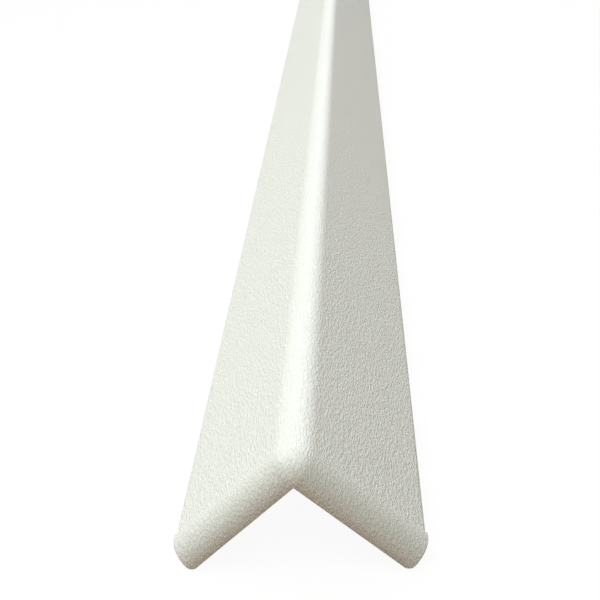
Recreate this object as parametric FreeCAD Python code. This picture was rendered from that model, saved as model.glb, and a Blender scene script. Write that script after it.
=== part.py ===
import FreeCAD, Part
import math
import os

# Corner guard moulding: a hollow extruded L profile with a rolled, plug-in cap on each end.
#
# The guard lies as a tent on a level floor, nose up. X runs across, Y along the length and Z up, with
# the origin on the floor under the middle of the guard. All sizes are in millimetres.
#
# The section is worked out in leg coordinates. Both are measured from the wall corner, which is the
# inside corner of the L: "along" runs down a leg on its wall face, and "out" stands square off that face.

# Overall sizes of the guard
overall_length = 1219.2     # over both end caps, a four foot length
wing = 50.8                 # width of each wing, from the outer faces' sharp corner to the free edge
thickness = 8.0             # stand-off of the outer faces from the wall, and radius of the round nose

# Walls of the hollow section
outer_skin = 2.0            # wall under the outer faces and the nose
wall_skin = 1.5             # wall along the faces that lie on the building's wall
edge_wall = 2.0             # wall that closes each leg at its free edge
rib = 1.2                   # ribs that carry the outer skin
rib_count = 2               # ribs in each leg
chamber_radius = 0.5        # rounding in the corners of the chambers
free_edge_radius = 2.2      # rounding of the profile's outer free edges

# End caps
cap_roll = 7.3              # length of the quarter-round front
cap_lead = 1.1              # straight band between the roll and the cut end of the profile
cap_edge_radius = 0.5       # rounding of the roll's two side edges
cap_foot_radius = 2.2       # rounding of the cap's corners at the feet of the legs
plug_length = 12.0          # reach of the tongues into the chambers
plug_clearance = 0.2        # gap between a tongue and the walls of its chamber

# Places that follow from these sizes
leg = wing - thickness                          # wall face of each leg, from the wall corner to the free edge
corner_height = leg / math.sqrt(2)              # height of the wall corner over the floor
chamber_end = leg - edge_wall                   # end of the last chamber, along the leg
rib_pitch = chamber_end / (rib_count + 1)       # from one rib's middle to the next
end_plane = overall_length / 2                  # distance from the middle to the tip of a cap
cap_length = cap_roll + cap_lead
profile_end = end_plane - cap_length            # distance from the middle to a cut end of the profile

touch = 1e-6                                    # points closer than this are one point
length_axis = FreeCAD.Vector(0, 1, 0)
upright = FreeCAD.Vector(0, 0, 1)


def leg_point(side, along, out, y):
    """A point of the right (side 1) or left (side -1) leg, given in leg coordinates."""
    x = side * (along + out) / math.sqrt(2)
    z = corner_height + (out - along) / math.sqrt(2)
    return FreeCAD.Vector(x, y, z)


def leg_place(side, point):
    """The leg coordinates, along and out, of a point: leg_point turned round."""
    across = side * point.x / math.sqrt(2)
    rise = (point.z - corner_height) / math.sqrt(2)
    return across - rise, across + rise


def line(start, end):
    """A straight edge."""
    return Part.LineSegment(start, end).toShape()


def nose_arc(start_side, radius, y):
    """A quarter circle round the wall corner, from one leg to the other over the top."""
    start = leg_point(start_side, 0, radius, y)
    top = FreeCAD.Vector(0, y, corner_height + radius)
    end = leg_point(-start_side, 0, radius, y)
    return Part.Arc(start, top, end).toShape()


def free_edge_arc(side, y):
    """The rounding of one outer free edge, from the outer face to the edge's own face."""
    radius = free_edge_radius
    middle = radius * (1 - math.sqrt(0.5))
    start = leg_point(side, leg - radius, thickness, y)
    halfway = leg_point(side, leg - middle, thickness - middle, y)
    end = leg_point(side, leg, thickness - radius, y)
    return Part.Arc(start, halfway, end).toShape()


def prism(edges, reach):
    """A solid drawn along the length from a closed outline."""
    return Part.Face(Part.Wire(Part.__sortEdges__(edges))).extrude(length_axis * reach)


def round_corners(solid, room):
    """Round the lengthwise corners of a chamber, with a radius that its height leaves room for."""
    corners = [edge for edge in solid.Edges if runs_lengthwise(edge) and is_corner(solid, edge)]
    return solid.makeFillet(min(chamber_radius, room / 3), corners)


def runs_lengthwise(edge):
    """True for a straight edge along the guard's length."""
    ends = edge.Vertexes
    return abs(ends[0].Y - ends[-1].Y) > touch


def is_corner(solid, edge):
    """True where two faces meet at an angle, and false where a flat runs on into an arc."""
    middle = edge.valueAt((edge.FirstParameter + edge.LastParameter) / 2)
    one, other = [
        face.normalAt(*face.Surface.parameter(middle))
        for face in solid.ancestorsOfType(edge, Part.Face)
    ]
    return one.cross(other).Length > touch


def nose_chamber(inset, y, reach):
    """The chamber that runs round the nose, between the first ribs of the two legs."""
    end = rib_pitch - rib / 2 - inset
    low = wall_skin + inset
    high = thickness - outer_skin - inset
    edges = [nose_arc(-1, high, y), nose_arc(-1, low, y)]
    for side in (-1, 1):
        edges.append(line(leg_point(side, 0, high, y), leg_point(side, end, high, y)))
        edges.append(line(leg_point(side, end, high, y), leg_point(side, end, low, y)))
        edges.append(line(leg_point(side, end, low, y), leg_point(side, 0, low, y)))
    return round_corners(prism(edges, reach), high - low)


def leg_chamber(side, index, inset, y, reach):
    """One flat chamber of a leg, from the rib of that index to the next rib or the edge wall."""
    start = index * rib_pitch + rib / 2 + inset
    wall = 0 if index == rib_count else rib / 2
    end = (index + 1) * rib_pitch - wall - inset
    low = wall_skin + inset
    high = thickness - outer_skin - inset
    corners = [(start, low), (end, low), (end, high), (start, high), (start, low)]
    points = [leg_point(side, along, out, y) for along, out in corners]
    edges = [line(here, there) for here, there in zip(points, points[1:])]
    return round_corners(prism(edges, reach), high - low)


def chambers(inset, y, reach):
    """Every chamber of the section, its walls drawn in by the inset."""
    flat = [
        leg_chamber(side, index, inset, y, reach)
        for side in (-1, 1)
        for index in range(1, rib_count + 1)
    ]
    return [nose_chamber(inset, y, reach)] + flat


def guard_profile():
    """The extruded length: the round-nosed L outline, less its chambers."""
    y = -profile_end
    edges = [nose_arc(-1, thickness, y)]
    for side in (-1, 1):
        face_end = leg_point(side, leg - free_edge_radius, thickness, y)
        edge_start = leg_point(side, leg, thickness - free_edge_radius, y)
        foot = leg_point(side, leg, 0, y)
        edges.append(line(leg_point(side, 0, thickness, y), face_end))
        edges.append(free_edge_arc(side, y))
        edges.append(line(edge_start, foot))
        edges.append(line(foot, leg_point(side, 0, 0, y)))
    length = 2 * profile_end
    return prism(edges, length).cut(chambers(0, y, length))


def cap_outline(side):
    """The cap cut square across a leg at the wall corner: wall line, joint, straight band and roll."""
    tip = -end_plane
    joint = -profile_end
    # A quarter ellipse as a conic curve: square off the wall at the tip, flush with the outer face above
    roll = Part.BezierCurve()
    roll.setPoles([
        leg_point(side, 0, 0, tip),
        leg_point(side, 0, thickness, tip),
        leg_point(side, 0, thickness, tip + cap_roll),
    ])
    roll.setWeight(2, math.sqrt(0.5))
    edges = [
        roll.toShape(),
        line(leg_point(side, 0, thickness, tip + cap_roll), leg_point(side, 0, thickness, joint)),
        line(leg_point(side, 0, thickness, joint), leg_point(side, 0, 0, joint)),
        line(leg_point(side, 0, 0, joint), leg_point(side, 0, 0, tip)),
    ]
    return Part.Face(Part.Wire(Part.__sortEdges__(edges)))


def cap_leg(side):
    """The cap over one leg, with the edge between its roll and its free side rounded, and its foot corner."""
    reach = leg_point(side, leg, 0, 0) - leg_point(side, 0, 0, 0)
    solid = cap_outline(side).extrude(reach)
    rounded = [edge for edge in solid.Edges if is_side_edge(edge, side)]
    return solid.makeFillet(cap_edge_radius, rounded).cut(foot_corner(side))


def foot_corner(side):
    """What the rounding takes off a cap's foot: its corner outside a quarter circle, drawn past both its ends."""
    radius = cap_foot_radius
    middle = radius * (1 - math.sqrt(0.5))
    y = -end_plane - cap_length
    start = leg_point(side, leg - radius, 0, y)
    halfway = leg_point(side, leg - middle, middle, y)
    end = leg_point(side, leg, radius, y)
    outside = [
        leg_point(side, leg - radius, -radius, y),
        leg_point(side, leg + radius, -radius, y),
        leg_point(side, leg + radius, radius, y),
    ]
    points = [start] + outside + [end]
    edges = [line(here, there) for here, there in zip(points, points[1:])]
    return prism(edges + [Part.Arc(start, halfway, end).toShape()], 3 * cap_length)


def is_side_edge(edge, side):
    """True for the free side's edge along the roll and the straight band, and false for its other edges."""
    middle = edge.valueAt((edge.FirstParameter + edge.LastParameter) / 2)
    along, out = leg_place(side, middle)
    on_free_side = abs(along - leg) < touch
    on_joint = abs(middle.y + profile_end) < touch
    on_wall = abs(out) < touch
    return on_free_side and not on_joint and not on_wall


def end_cap():
    """The cap of the near end: two rolled legs, the round nose between them, and a tongue per chamber."""
    wall_corner = leg_point(1, 0, 0, 0)
    nose = cap_outline(1).revolve(wall_corner, length_axis, -90)
    tongues = chambers(plug_clearance, -profile_end, plug_length)
    return cap_leg(1).multiFuse([cap_leg(-1), nose] + tongues).removeSplitter()


def save(name, shape):
    """Write one piece, after a look at its solids and volume."""
    print(name, "solids", len(shape.Solids), "valid", shape.isValid(), "mm3", round(shape.Volume, 1))
    shape.exportStep("parts/" + name + ".step")


os.makedirs("parts", exist_ok=True)
near_cap = end_cap()
save("guard_profile", guard_profile())
save("end_cap_near", near_cap)
save("end_cap_far", near_cap.rotated(FreeCAD.Vector(), upright, 180))
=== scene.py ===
"""Looks of the corner guard: an off-white vinyl L profile with a rolled cap on each end.

Every piece is a surface worked out with numpy in the frame of the solids, in metres: X across the guard,
Y along its length and Z up from the floor that it lies on, nose up.
"""
import logging
import math
from dataclasses import dataclass
from enum import Enum
from typing import Any, Union

import bmesh
import bpy
import numpy as np
from mathutils import Matrix, Vector


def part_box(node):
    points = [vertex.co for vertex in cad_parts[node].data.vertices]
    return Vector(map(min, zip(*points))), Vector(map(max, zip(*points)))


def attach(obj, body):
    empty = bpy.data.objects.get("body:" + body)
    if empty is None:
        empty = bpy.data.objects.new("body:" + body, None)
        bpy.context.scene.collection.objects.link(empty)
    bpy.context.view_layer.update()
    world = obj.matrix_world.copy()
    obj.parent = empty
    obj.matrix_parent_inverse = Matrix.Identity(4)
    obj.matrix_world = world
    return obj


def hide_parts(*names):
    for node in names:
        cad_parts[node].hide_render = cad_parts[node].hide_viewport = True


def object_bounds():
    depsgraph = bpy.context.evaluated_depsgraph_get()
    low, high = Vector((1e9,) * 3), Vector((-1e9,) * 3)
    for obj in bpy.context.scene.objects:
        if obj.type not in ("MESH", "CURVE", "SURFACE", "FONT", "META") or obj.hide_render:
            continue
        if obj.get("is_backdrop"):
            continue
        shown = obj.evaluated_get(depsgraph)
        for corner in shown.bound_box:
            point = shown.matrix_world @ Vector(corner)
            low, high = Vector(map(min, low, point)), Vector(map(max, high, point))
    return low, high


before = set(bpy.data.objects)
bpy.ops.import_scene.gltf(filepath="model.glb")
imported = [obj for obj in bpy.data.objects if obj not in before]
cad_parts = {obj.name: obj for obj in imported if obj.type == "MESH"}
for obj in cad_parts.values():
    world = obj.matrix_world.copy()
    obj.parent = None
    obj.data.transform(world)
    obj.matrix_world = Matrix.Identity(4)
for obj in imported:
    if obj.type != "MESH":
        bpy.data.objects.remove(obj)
cad_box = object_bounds()

log = logging.getLogger("corner_guard")

MM = 0.001
WHITE = (1.0, 1.0, 1.0, 1.0)
Triple = tuple[float, float, float]
Number = Union[float, np.ndarray]


class Side(Enum):
    """A leg of the L, with the sign of its X."""

    RIGHT = 1
    LEFT = -1


class End(Enum):
    """An end of the guard, with the sign of its Y."""

    NEAR = -1
    FAR = 1


def eased(steps: int) -> np.ndarray:
    """Values from 0 to 1 that lie closer together at both ends: half of 1 minus the cosine.

    Args:
        steps: how many gaps there are between the values.

    Returns:
        steps + 1 values.
    """
    return (1 - np.cos(np.linspace(0, math.pi, steps + 1))) / 2


class Shell:
    """A closed surface made of grids of points and flat faces, welded where they meet."""

    WELD = 1e-7
    SHARP_ANGLE = math.radians(32)

    def __init__(self) -> None:
        """Start with no grids and no flat faces."""
        self.grids: list[np.ndarray] = []
        self.flats: list[np.ndarray] = []

    def add(self, grid: np.ndarray) -> None:
        """Take in a grid of points, rows by columns by 3."""
        self.grids.append(grid)

    def close(self, outline: np.ndarray) -> None:
        """Take in a flat face, given as the points round it."""
        self.flats.append(outline)

    def cells(self) -> np.ndarray:
        """Number the points of all grids in order, and put four of them round each cell.

        A cell of a grid has its corners at (row, column), (row, column + 1), (row + 1, column + 1)
        and (row + 1, column).

        Returns:
            The cells as rows of four numbers.
        """
        cells = []
        first = 0
        for grid in self.grids:
            rows, columns = grid.shape[:2]
            number = first + np.arange(rows * columns).reshape(rows, columns)
            corners = (number[:-1, :-1], number[:-1, 1:], number[1:, 1:], number[1:, :-1])
            cells.append(np.stack(corners, axis=-1).reshape(-1, 4))
            first += rows * columns
        return np.concatenate(cells)

    def faces(self) -> tuple[np.ndarray, list[list[int]]]:
        """Weld points at the same place: a quad with two neighbouring corners welded becomes a triangle.

        Returns:
            The welded points, and the faces as lists of their numbers.
        """
        points = np.concatenate([part.reshape(-1, 3) for part in self.grids + self.flats])
        keys = np.round(points / self.WELD).astype(np.int64)
        _, kept, welded = np.unique(keys, axis=0, return_index=True, return_inverse=True)
        welded = welded.reshape(-1)
        quads = welded[self.cells()]
        apart = quads != np.roll(quads, -1, axis=1)
        sides = apart.sum(axis=1)
        faces = quads[sides == 4].tolist() + quads[sides == 3][apart[sides == 3]].reshape(-1, 3).tolist()
        first = len(points) - sum(len(outline) for outline in self.flats)
        for outline in self.flats:
            ring = welded[first:first + len(outline)]
            faces.append(ring[ring != np.roll(ring, -1)].tolist())
            first += len(outline)
        return points[kept], faces

    def mesh(self, name: str) -> bpy.types.Mesh:
        """Make the mesh.

        Args:
            name: the mesh's name.

        Returns:
            A closed mesh with its normals outwards, smooth but for its sharp edges.
        """
        points, faces = self.faces()
        mesh = bpy.data.meshes.new(name)
        mesh.from_pydata(points.tolist(), [], faces)
        work = bmesh.new()
        work.from_mesh(mesh)
        bmesh.ops.recalc_face_normals(work, faces=work.faces)
        work.to_mesh(mesh)
        work.free()
        mesh.polygons.foreach_set("use_smooth", np.ones(len(mesh.polygons), bool))
        mesh.set_sharp_from_angle(angle=self.SHARP_ANGLE)
        return mesh


@dataclass(frozen=True)
class GuardSection:
    """The L section in leg coordinates, which start from the wall corner, the inside corner of the L.

    "along" runs down a leg on its wall face, and "out" stands square off that face.
    """

    wing: float = 50.8 * MM
    thickness: float = 8.0 * MM
    leg_steps: int = 24
    nose_steps: int = 48
    rounding_steps: int = 8

    @property
    def leg(self) -> float:
        """Width of a leg's wall face, from the wall corner to the free edge."""
        return self.wing - self.thickness

    @property
    def corner_height(self) -> float:
        """Height of the wall corner when both free edges stand on the floor."""
        return self.leg / math.sqrt(2)

    def place(self, side: Side, along: Number, out: Number, y: Number) -> np.ndarray:
        """Points of one leg: x is side times (along + out) / root 2, and z falls by along and rises by out.

        Args:
            side: the leg.
            along: distance from the wall corner down the leg.
            out: distance off the wall face.
            y: place on the guard's length.

        Returns:
            The points, with the three coordinates on the last axis.
        """
        along, out, y = np.broadcast_arrays(along, out, y)
        x = side.value * (along + out) / math.sqrt(2)
        z = self.corner_height + (out - along) / math.sqrt(2)
        return np.stack([x, y, z], axis=-1)

    def nose(self, out: np.ndarray, y: np.ndarray) -> np.ndarray:
        """The round nose: quarter circles about the wall corner, from the right leg over to the left.

        Args:
            out: the radius in each row.
            y: the place of each row on the guard's length.

        Returns:
            One row of points for each radius, its first and last point on the legs.
        """
        turn = np.linspace(math.pi / 4, -math.pi / 4, self.nose_steps + 1)
        x = out[:, None] * np.sin(turn)
        z = self.corner_height + out[:, None] * np.cos(turn)
        return np.stack([x, np.broadcast_to(y[:, None], x.shape), z], axis=-1)


@dataclass
class GuardPiece:
    """A piece that follows the L section: two legs with the round nose between them."""

    section: GuardSection
    name: str

    def fill(self, shell: Shell) -> None:
        """Add the piece's surfaces to a shell."""
        raise NotImplementedError

    def build(self) -> bpy.types.Object:
        """Weld the surfaces to one closed mesh and put it in the scene.

        Returns:
            The piece's object, at the origin.
        """
        shell = Shell()
        self.fill(shell)
        piece = bpy.data.objects.new(self.name, shell.mesh(self.name))
        bpy.context.scene.collection.objects.link(piece)
        return piece

    def dress(self, piece: bpy.types.Object, material: bpy.types.Material, node: str, slot: str) -> None:
        """Give the piece its finish, and its place on the guard.

        Args:
            piece: the object that build made.
            material: its finish.
            node: the solid that it stands for.
            slot: not used.
        """
        piece.data.materials.append(material)
        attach(piece, "root")
        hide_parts(node)
        log.info("%s: %d faces", piece.name, len(piece.data.polygons))


@dataclass
class GuardProfile(GuardPiece):
    """The extruded length: the section carried straight along Y, with rounded outer free edges."""

    start: float
    stop: float
    free_edge_radius: float = 2.2 * MM
    length_steps: int = 160

    def half_section(self) -> tuple[np.ndarray, np.ndarray]:
        """The half outline: up the free edge's face, round its corner by a quarter circle, and up the leg.

        Returns:
            The outline's along and out.
        """
        radius = self.free_edge_radius
        turn = np.linspace(math.pi / 2, 0, self.section.rounding_steps + 1)
        face = (self.section.leg - radius) * eased(self.section.leg_steps)[::-1][1:]
        along = np.concatenate([[self.section.leg], self.section.leg - radius * (1 - np.sin(turn)), face])
        rounded = self.section.thickness - radius * (1 - np.cos(turn))
        out = np.concatenate([[0.0], rounded, np.full(face.shape, self.section.thickness)])
        return along, out

    def fill(self, shell: Shell) -> None:
        """Carry the outline along the length, and close the wall faces and the two cut ends.

        Args:
            shell: the shell that takes the surfaces in.
        """
        y = np.linspace(self.start, self.stop, self.length_steps + 1)
        along, out = self.half_section()
        legs = {side: self.section.place(side, along[None], out[None], y[:, None]) for side in Side}
        nose = self.section.nose(np.full(y.shape, self.section.thickness), y)
        outside = np.concatenate([legs[Side.RIGHT], nose[:, 1:-1], legs[Side.LEFT][:, ::-1]], axis=1)
        shell.add(outside)
        for side in Side:
            shell.add(self.section.place(side, np.array([[self.section.leg, 0.0]]), 0.0, y[:, None]))
        wall_corner = self.section.place(Side.RIGHT, 0.0, 0.0, y)
        for row in (0, -1):
            shell.close(np.concatenate([outside[row], wall_corner[[row]]]))


@dataclass
class EndCap(GuardPiece):
    """A moulded cap: a straight band at the joint, then a quarter-round roll down to the wall faces.

    Its points are worked out as (along, out, depth), with the depth measured from the joint to the tip. The
    rim, where the roll meets the free side, the rounded foot and the wall face, is rounded by a rolling ball
    that grows smaller round the foot.
    """

    end: End
    joint: float
    roll: float = 7.3 * MM
    lead: float = 1.1 * MM
    foot_radius: float = 2.2 * MM
    side_rim: float = 0.5 * MM
    wall_rim: float = 0.2 * MM
    roll_steps: int = 36
    foot_steps: int = 12
    halvings: int = 50

    def roll_line(self, turn: np.ndarray) -> tuple[np.ndarray, np.ndarray]:
        """The roll, a quarter ellipse.

        Its out is the thickness times the cosine of the turn, and its depth the band plus the roll times
        the sine.

        Args:
            turn: 0 at the band, and a quarter turn at the wall.

        Returns:
            The points, and their unit normals.
        """
        none = np.zeros_like(turn)
        across = self.section.thickness
        points = np.stack([none, across * np.cos(turn), self.lead + self.roll * np.sin(turn)], axis=-1)
        normals = np.stack([none, np.cos(turn) / across, np.sin(turn) / self.roll], axis=-1)
        return points, normals / np.linalg.norm(normals, axis=-1, keepdims=True)

    def turn_at(self, height: np.ndarray, radius: np.ndarray) -> np.ndarray:
        """Find by halving where a ball held against the roll has its middle at a height off the wall.

        Args:
            height: the heights of the ball's middle.
            radius: the ball's radius at each height.

        Returns:
            The turns of the roll.
        """
        low, high = np.zeros_like(height), np.full_like(height, math.pi / 2)
        for _ in range(self.halvings):
            turn = (low + high) / 2
            points, normals = self.roll_line(turn)
            above = points[:, 1] - radius * normals[:, 1] > height
            low, high = np.where(above, turn, low), np.where(above, high, turn)
        return low

    def rim_path(self) -> tuple[np.ndarray, np.ndarray, np.ndarray, np.ndarray]:
        """The ball's path down the free side and round the foot.

        Round the foot, whose quarter circle is drawn in by the ball's radius, the middle's along goes with
        the sine of the bend and its height with the cosine. The first row lies in the joint.

        Returns:
            The ball's middle and radius, and its directions to the roll and to the outline of the section.
        """
        foot_bend = np.linspace(math.pi / 2, 0, self.foot_steps + 1)
        foot_ball = np.linspace(self.side_rim, self.wall_rim, self.foot_steps + 1)
        height = self.foot_radius - (self.foot_radius - foot_ball) * np.cos(foot_bend)
        foot_turn = self.turn_at(height, foot_ball)
        side_turn = np.linspace(0, foot_turn[0], self.roll_steps + 1)[:-1]
        side_rows = np.ones(1 + self.roll_steps)
        bend = np.concatenate([foot_bend[0] * side_rows, foot_bend])
        radius = np.concatenate([self.side_rim * side_rows, foot_ball])[:, None]
        points, to_roll = self.roll_line(np.concatenate([[0.0], side_turn, foot_turn]))
        middle = points - radius * to_roll
        middle[:, 0] = self.section.leg - self.foot_radius + (self.foot_radius - radius[:, 0]) * np.sin(bend)
        middle[0, 2] = 0.0
        to_section = np.stack([np.sin(bend), -np.cos(bend), np.zeros_like(bend)], axis=-1)
        return middle, radius, to_roll, to_section

    def rounding(self, middle: np.ndarray, first: np.ndarray, last: np.ndarray) -> np.ndarray:
        """Arcs of balls, each point weighted by the sines of its angles to both ends.

        Args:
            middle: the balls' middles.
            first: from each middle to where its arc starts.
            last: from each middle to where its arc ends.

        Returns:
            One row of points for each arc.
        """
        share = np.linspace(0, 1, self.section.rounding_steps + 1)[None, :, None]
        size = np.linalg.norm(first, axis=-1) * np.linalg.norm(last, axis=-1)
        angle = np.arccos(np.clip((first * last).sum(axis=-1) / size, -1, 1))[:, None, None]
        ahead = np.sin((1 - share) * angle) * first[:, None] + np.sin(share * angle) * last[:, None]
        return middle[:, None] + ahead / np.sin(angle)

    def half_cap(self) -> tuple[np.ndarray, np.ndarray, np.ndarray]:
        """The cap over one leg.

        Returns:
            The roll, from the nose out to the rim; the rim, from the joint round to the nose; and the free
            side, foot and wall face, from the rim back to the joint.
        """
        middle, radius, to_roll, to_section = self.rim_path()
        columns = eased(self.section.leg_steps)
        roll = np.repeat((middle + radius * to_roll)[:, None], columns.size, axis=1)
        roll[:, :, 0] *= columns
        wall_edge = np.repeat(middle[-1:], columns.size - 1, axis=0)
        wall_edge[:, 0] *= columns[-2::-1]
        path = np.concatenate([middle, wall_edge])
        last_row = np.minimum(np.arange(len(path)), len(middle) - 1)
        rim = self.rounding(path, (radius * to_roll)[last_row], (radius * to_section)[last_row])
        skirt = np.stack([rim[:, -1], rim[:, -1] * (1, 1, 0)])
        return roll, rim, skirt

    def place(self, side: Side, points: np.ndarray) -> np.ndarray:
        """Points of one leg, in the guard's frame."""
        along, out, depth = np.moveaxis(points, -1, 0)
        return self.section.place(side, along, out, self.end.value * (self.joint + depth))

    def fill(self, shell: Shell) -> None:
        """Add both legs, turn the roll and the end of the rim about the wall corner, and close the joint.

        Args:
            shell: the shell that takes the surfaces in.
        """
        roll, rim, skirt = self.half_cap()
        for side in Side:
            for grid in (roll, rim, skirt):
                shell.add(self.place(side, grid))
        line = np.concatenate([roll[:, 0], rim[-1, 1:]])
        nose = self.section.nose(line[:, 1], self.end.value * (self.joint + line[:, 2]))
        shell.add(nose)
        half_outline = np.concatenate([roll[0], rim[0, 1:], skirt[1, 1:]])
        right, left = (self.place(side, half_outline) for side in (Side.RIGHT, Side.LEFT))
        shell.close(np.concatenate([right, left[-2::-1], nose[0, -2:0:-1]]))


class ShaderGraph:
    """The nodes of one material or world."""

    MIX_COLOUR_A = 6
    MIX_COLOUR_B = 7
    MIX_COLOUR_RESULT = 2

    def __init__(self, tree: bpy.types.NodeTree) -> None:
        """Start from an empty tree."""
        self.tree = tree
        tree.nodes.clear()

    def add(self, kind: str, settings: dict[str, Any], sockets: dict[Any, Any]) -> bpy.types.Node:
        """Add a node.

        Args:
            kind: the node's type.
            settings: its own properties, which are set first.
            sockets: a number, a colour, a vector, a socket or a Value for each named or numbered input.

        Returns:
            The node.
        """
        node = self.tree.nodes.new(kind)
        for name, setting in settings.items():
            setattr(node, name, setting)
        for key, content in sockets.items():
            source = content.socket if isinstance(content, Value) else content
            if isinstance(source, bpy.types.NodeSocket):
                self.tree.links.new(source, node.inputs[key])
            else:
                node.inputs[key].default_value = source
        return node

    def number(self, kind: str, settings: dict[str, Any], sockets: dict[Any, Any], output: str) -> "Value":
        """Add a node and take one of its outputs as a number."""
        return Value(self, self.add(kind, settings, sockets).outputs[output])

    def mix(self, share: "Value", first: Triple, second: Triple) -> bpy.types.NodeSocket:
        """Mix two colours.

        Args:
            share: how much of the second colour there is, from 0 to 1.
            first: the colour at share 0.
            second: the colour at share 1.

        Returns:
            The mixed colour.
        """
        sockets = {0: share, self.MIX_COLOUR_A: (*first, 1.0), self.MIX_COLOUR_B: (*second, 1.0)}
        node = self.add("ShaderNodeMix", {"data_type": "RGBA"}, sockets)
        return node.outputs[self.MIX_COLOUR_RESULT]

    def scaled(self, vector: bpy.types.NodeSocket, factors: Triple) -> bpy.types.NodeSocket:
        """Multiply a vector's three parts by three factors."""
        node = self.add("ShaderNodeVectorMath", {"operation": "MULTIPLY"}, {0: vector, 1: factors})
        return node.outputs["Vector"]


class Value:
    """A number that changes over a surface, held by a socket: arithmetic on it adds Math nodes."""

    def __init__(self, graph: ShaderGraph, socket: bpy.types.NodeSocket) -> None:
        """Wrap an output socket of the graph."""
        self.graph = graph
        self.socket = socket

    def math(self, operation: str, other: Any = 0.0) -> "Value":
        """Add one Math node, with this number first."""
        return self.graph.number("ShaderNodeMath", {"operation": operation}, {0: self, 1: other}, "Value")

    def __add__(self, other: Any) -> "Value":
        """self + other."""
        return self.math("ADD", other)

    __radd__ = __add__

    def __sub__(self, other: Any) -> "Value":
        """self - other."""
        return self.math("SUBTRACT", other)

    def __rsub__(self, other: Any) -> "Value":
        """other - self."""
        return self * -1.0 + other

    def __mul__(self, other: Any) -> "Value":
        """self * other."""
        return self.math("MULTIPLY", other)

    __rmul__ = __mul__


@dataclass(frozen=True)
class GrainedVinyl:
    """Satin vinyl with a pebble grain.

    "pebble" is a pebble's size round the section, along the guard and out from the wall faces. The noise
    below "valley_level" is valley, and above "pebble_level" it is flat pebble. The crown of the nose is
    smoother and loses the share "crown_fade" of the grain. It is whole up to the lean "crown_flat", and has
    faded out at "crown_end".
    """

    name: str
    section: GuardSection
    colour: Triple
    valley_colour: Triple
    pebble: Triple
    grain_depth: float
    roughness: float
    crown_roughness: float
    crown_fade: float = 0.45
    crown_flat: float = math.radians(15)
    crown_end: float = math.radians(52)
    valley_level: float = 0.36
    pebble_level: float = 0.64
    noise_detail: float = 1.5
    noise_roughness: float = 0.5
    noise_distortion: float = 0.6
    roughness_swing: float = 0.08
    gloss: float = 0.5
    ior: float = 1.5

    def material(self) -> bpy.types.Material:
        """Make the material.

        Returns:
            A Principled material with its colour, roughness and bump from the grain.
        """
        material = bpy.data.materials.new(self.name)
        material.use_nodes = True
        graph = ShaderGraph(material.node_tree)
        lean, ways = self.unrolled(graph)
        height = self.grain(graph, ways)
        crown = self.crown(graph, lean)
        bump = graph.add("ShaderNodeBump", {}, {
            "Strength": 1.0,
            "Distance": self.grain_depth,
            "Height": height * (1 - self.crown_fade * crown),
        })
        polish = (self.crown_roughness - self.roughness) * crown
        surface = graph.add("ShaderNodeBsdfPrincipled", {}, {
            "Base Color": graph.mix(height, self.valley_colour, self.colour),
            "Roughness": self.roughness + polish + self.roughness_swing * (0.5 - height),
            "Normal": bump.outputs["Normal"],
            "IOR": self.ior,
            "Specular IOR Level": self.gloss,
        })
        graph.add("ShaderNodeOutputMaterial", {}, {"Surface": surface.outputs["BSDF"]})
        return material

    def unrolled(self, graph: ShaderGraph) -> tuple[Value, bpy.types.NodeSocket]:
        """Lay the surface out flat: the way round the section, along the guard and out from the wall faces.

        The lean is the angle of (x, z) off upright, seen from the wall corner. The way round the nose is the
        distance from that corner times the lean. From an eighth of a turn on, the way down the leg is added.

        Args:
            graph: the material's nodes.

        Returns:
            The size of the lean, and the three ways, each counted in pebbles.
        """
        place = graph.add("ShaderNodeTexCoord", {}, {}).outputs["Object"]
        parts = graph.add("ShaderNodeSeparateXYZ", {}, {"Vector": place})
        x, y, z = (Value(graph, parts.outputs[name]) for name in "XYZ")
        side = x.math("SIGN")
        across = x.math("ABSOLUTE")
        rise = z - self.section.corner_height
        lean = across.math("ARCTAN2", rise)
        down = (across - rise) * math.sqrt(0.5)
        way_out = (across + rise) * math.sqrt(0.5)
        above = down.math("MINIMUM", 0.0)
        radius = (way_out * way_out + above * above).math("SQRT")
        way_round = side * (radius * lean.math("MINIMUM", math.pi / 4) + down.math("MAXIMUM", 0.0))
        ways = graph.add("ShaderNodeCombineXYZ", {}, {"X": way_round, "Y": y, "Z": way_out})
        return lean, graph.scaled(ways.outputs["Vector"], tuple(1 / size for size in self.pebble))

    def crown(self, graph: ShaderGraph, lean: Value) -> Value:
        """The crown of the nose: 1 along it, falling smoothly to 0 where the nose meets the legs.

        Args:
            graph: the material's nodes.
            lean: the size of the lean.

        Returns:
            The share of crown.
        """
        return graph.number("ShaderNodeMapRange", {"interpolation_type": "SMOOTHSTEP"}, {
            "Value": lean,
            "From Min": self.crown_end,
            "From Max": self.crown_flat,
        }, "Result")

    def grain(self, graph: ShaderGraph, ways: bpy.types.NodeSocket) -> Value:
        """The grain's height, from 0 to 1: noise, steepened to flat pebbles with soft valleys.

        Args:
            graph: the material's nodes.
            ways: the surface laid out flat, counted in pebbles.

        Returns:
            The height.
        """
        noise = graph.number("ShaderNodeTexNoise", {}, {
            "Vector": ways,
            "Scale": 1.0,
            "Detail": self.noise_detail,
            "Roughness": self.noise_roughness,
            "Distortion": self.noise_distortion,
        }, "Fac")
        return graph.number("ShaderNodeMapRange", {"interpolation_type": "SMOOTHSTEP"}, {
            "Value": noise,
            "From Min": self.valley_level,
            "From Max": self.pebble_level,
        }, "Result")


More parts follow.
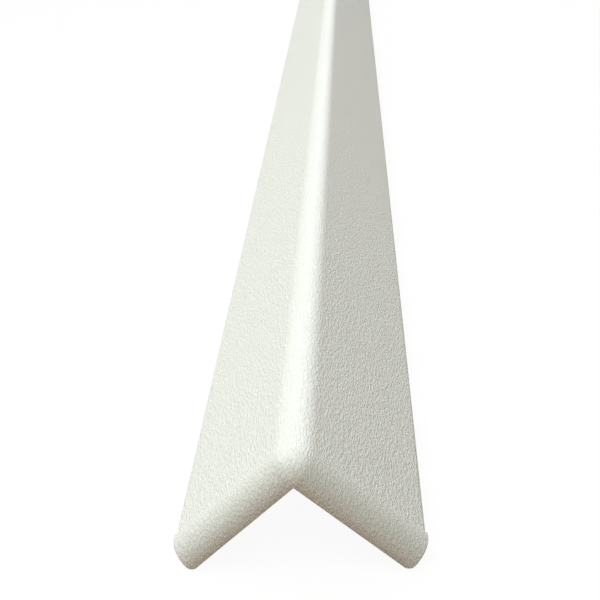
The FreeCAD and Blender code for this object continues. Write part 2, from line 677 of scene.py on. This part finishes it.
@dataclass(frozen=True)
class PhotoCamera:
    """The photograph's viewpoint, with its place measured from the wall corner at the near cap's tip."""

    image_pixels: float = 600.0
    focal_pixels: float = 882.42
    sensor: float = 36.0
    clip_start: float = 1 * MM
    yaw: float = math.radians(-4.405)
    pitch: float = math.radians(29.642)
    roll: float = math.radians(3.568)
    offset: Triple = (18.153 * MM, -173.874 * MM, 155.471 * MM)

    def build(self, wall_corner: Vector) -> None:
        """Make the camera and make it the scene's own.

        Args:
            wall_corner: the wall corner at the near cap's tip.
        """
        ahead = Vector((
            math.sin(self.yaw) * math.cos(self.pitch),
            math.cos(self.yaw) * math.cos(self.pitch),
            -math.sin(self.pitch),
        ))
        level = Vector((math.cos(self.yaw), -math.sin(self.yaw), 0.0))
        down = ahead.cross(level)
        right = math.cos(self.roll) * level + math.sin(self.roll) * down
        axes = Matrix((right, right.cross(ahead), -ahead)).transposed()
        data = bpy.data.cameras.new("photo_camera")
        data.sensor_width = self.sensor
        data.lens = self.focal_pixels * self.sensor / self.image_pixels
        data.clip_start = self.clip_start
        camera = bpy.data.objects.new("photo_camera", data)
        camera.matrix_world = Matrix.Translation(wall_corner + Vector(self.offset)) @ axes.to_4x4()
        bpy.context.scene.collection.objects.link(camera)
        bpy.context.scene.camera = camera


@dataclass(frozen=True)
class SoftLamp:
    """A broad lamp.

    "turn" is its bearing, clockwise from straight behind the guard, "rise" its height over the floor as an
    angle, and "spread" the angle that it fills.
    """

    name: str
    strength: float
    turn: float
    rise: float
    spread: float
    colour: Triple = (1.0, 1.0, 1.0)

    def bearing(self) -> Vector:
        """The direction from the guard to the lamp."""
        level = math.cos(self.rise)
        return Vector((math.sin(self.turn) * level, math.cos(self.turn) * level, math.sin(self.rise)))

    def place(self, data: bpy.types.Light, location: Vector) -> None:
        """Put the lamp in the scene, turned to shine against its bearing, and out of the camera's sight.

        Args:
            data: the lamp's light.
            location: where it stands.
        """
        data.color = self.colour
        lamp = bpy.data.objects.new(self.name, data)
        lamp.location = location
        lamp.rotation_euler = self.bearing().to_track_quat("Z", "Y").to_euler()
        lamp.visible_camera = False
        bpy.context.scene.collection.objects.link(lamp)

    def build(self, aim: Vector) -> None:
        """A lamp so far away that it lights the whole length alike.

        Args:
            aim: the place that it shines on.
        """
        data = bpy.data.lights.new(self.name, "SUN")
        data.energy = self.strength
        data.angle = self.spread
        self.place(data, aim)


@dataclass(frozen=True)
class Softbox(SoftLamp):
    """A round softbox, as broad as its spread looks from the place that it shines on."""

    distance: float = 2.2

    def build(self, aim: Vector) -> None:
        """A disc whose power gives its strength at the place that it shines on.

        Args:
            aim: the place that it shines on.
        """
        radius = self.distance * math.tan(self.spread / 2)
        data = bpy.data.lights.new(self.name, "AREA")
        data.shape = "DISK"
        data.size = 2 * radius
        data.energy = self.strength * math.pi * (radius ** 2 + self.distance ** 2)
        self.place(data, aim + self.distance * self.bearing())


@dataclass(frozen=True)
class Studio:
    """A pale floor and backdrop, with soft lamps to the left of the guard, behind it and above it.

    Both look white, and the floor throws back a warm light, the "bounce_colour", onto the guard. Only the
    share "shadow_share" of what is seen of the floor is its real shading, in the "seen_colour".
    """

    floor_half: float = 30.0
    bounce_colour: Triple = (0.30, 0.15, 0.05)
    seen_colour: Triple = (0.95, 0.95, 0.95)
    shadow_share: float = 0.06
    lamps: tuple[SoftLamp, ...] = (
        SoftLamp(
            "left_lamp",
            strength=1.82,
            turn=math.radians(-76),
            rise=math.radians(48),
            spread=math.radians(50),
        ),
        SoftLamp(
            "window",
            strength=0.83,
            turn=math.radians(8),
            rise=math.radians(36),
            spread=math.radians(36),
            colour=(1.0, 0.88, 1.0),
        ),
        Softbox(
            "top_softbox",
            strength=2.0,
            turn=math.radians(173),
            rise=math.radians(72),
            spread=math.radians(50),
            colour=(1.0, 1.0, 0.97),
        ),
    )

    def seen_white(self, graph: ShaderGraph) -> Value:
        """1 for a ray from the camera, a mirror or glass, and 0 for the light that falls on the guard.

        Args:
            graph: the nodes of the floor or the backdrop.

        Returns:
            The number.
        """
        ray = graph.add("ShaderNodeLightPath", {}, {})
        names = ("Is Camera Ray", "Is Glossy Ray", "Is Transmission Ray")
        camera, glossy, through = (Value(graph, ray.outputs[name]) for name in names)
        return camera + glossy + through

    def floor(self) -> None:
        """A level plane: white as seen, with a share of its real shading so that shadows stay."""
        corner = self.floor_half * np.array([[-1, -1, 0], [1, -1, 0], [1, 1, 0], [-1, 1, 0]], float)
        mesh = bpy.data.meshes.new("floor")
        mesh.from_pydata(corner.tolist(), [], [[0, 1, 2, 3]])
        material = bpy.data.materials.new("pale_floor")
        material.use_nodes = True
        graph = ShaderGraph(material.node_tree)
        seen = self.seen_white(graph)
        colour = graph.mix(seen, self.bounce_colour, self.seen_colour)
        matt = graph.add("ShaderNodeBsdfDiffuse", {}, {"Color": colour})
        white = graph.add("ShaderNodeEmission", {}, {"Color": WHITE, "Strength": 1.0})
        share = seen * (1 - self.shadow_share)
        mixed = graph.add("ShaderNodeMixShader", {}, {0: share, 1: matt.outputs[0], 2: white.outputs[0]})
        graph.add("ShaderNodeOutputMaterial", {}, {"Surface": mixed.outputs[0]})
        mesh.materials.append(material)
        floor = bpy.data.objects.new("floor", mesh)
        bpy.context.scene.collection.objects.link(floor)
        floor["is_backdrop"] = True

    def backdrop(self) -> None:
        """The world: white as seen, and dark for the light that falls on the guard."""
        world = bpy.data.worlds.new("white_backdrop")
        world.use_nodes = True
        graph = ShaderGraph(world.node_tree)
        white = graph.add("ShaderNodeBackground", {}, {"Color": WHITE, "Strength": self.seen_white(graph)})
        graph.add("ShaderNodeOutputWorld", {}, {"Surface": white.outputs["Background"]})
        bpy.context.scene.world = world

    def build(self, aim: Vector) -> None:
        """Set the stage and the plain view.

        Args:
            aim: the place that the lamps shine on.
        """
        self.floor()
        self.backdrop()
        for lamp in self.lamps:
            lamp.build(aim)
        bpy.context.scene.view_settings.view_transform = "Standard"


def write_sizes() -> None:
    """Work out the solids' box and the dressed guard's box."""
    boxes = {"cad": cad_box, "visual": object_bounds()}
    {name: [list(corner) for corner in box] for name, box in boxes.items()}


def main() -> None:
    """Build the guard's pieces in order, dress them, and set the stage round them."""
    logging.basicConfig(level=logging.INFO)
    section = GuardSection()
    profile_low, profile_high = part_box("guard_profile")
    profile_vinyl = GrainedVinyl(
        "pebbled_vinyl",
        section,
        colour=(0.774, 0.824, 0.758),
        valley_colour=(0.758, 0.807, 0.742),
        pebble=(0.66 * MM, 1.6 * MM, 0.66 * MM),
        grain_depth=0.16 * MM,
        roughness=0.62,
        crown_roughness=0.38,
    )
    cap_vinyl = GrainedVinyl(
        "fine_pebbled_vinyl",
        section,
        colour=(0.785, 0.832, 0.775),
        valley_colour=(0.769, 0.815, 0.759),
        pebble=(0.5 * MM, 0.85 * MM, 0.85 * MM),
        grain_depth=0.105 * MM,
        roughness=0.64,
        crown_roughness=0.44,
        crown_fade=0.15,
    )
    profile = GuardProfile(section, "profile", start=profile_low.y, stop=profile_high.y)
    profile.dress(profile.build(), profile_vinyl.material(), "guard_profile", "profile_vinyl")
    cap_finish = cap_vinyl.material()
    for end in End:
        cap = EndCap(section, "cap_" + end.name.lower(), end=end, joint=profile_high.y)
        cap.dress(cap.build(), cap_finish, "end_cap_" + end.name.lower(), "cap_vinyl")
    near_corner = Vector((0.0, cad_box[0].y, section.corner_height))
    PhotoCamera().build(near_corner)
    Studio().build(near_corner)
    write_sizes()


if __name__ == "__main__":
    main()
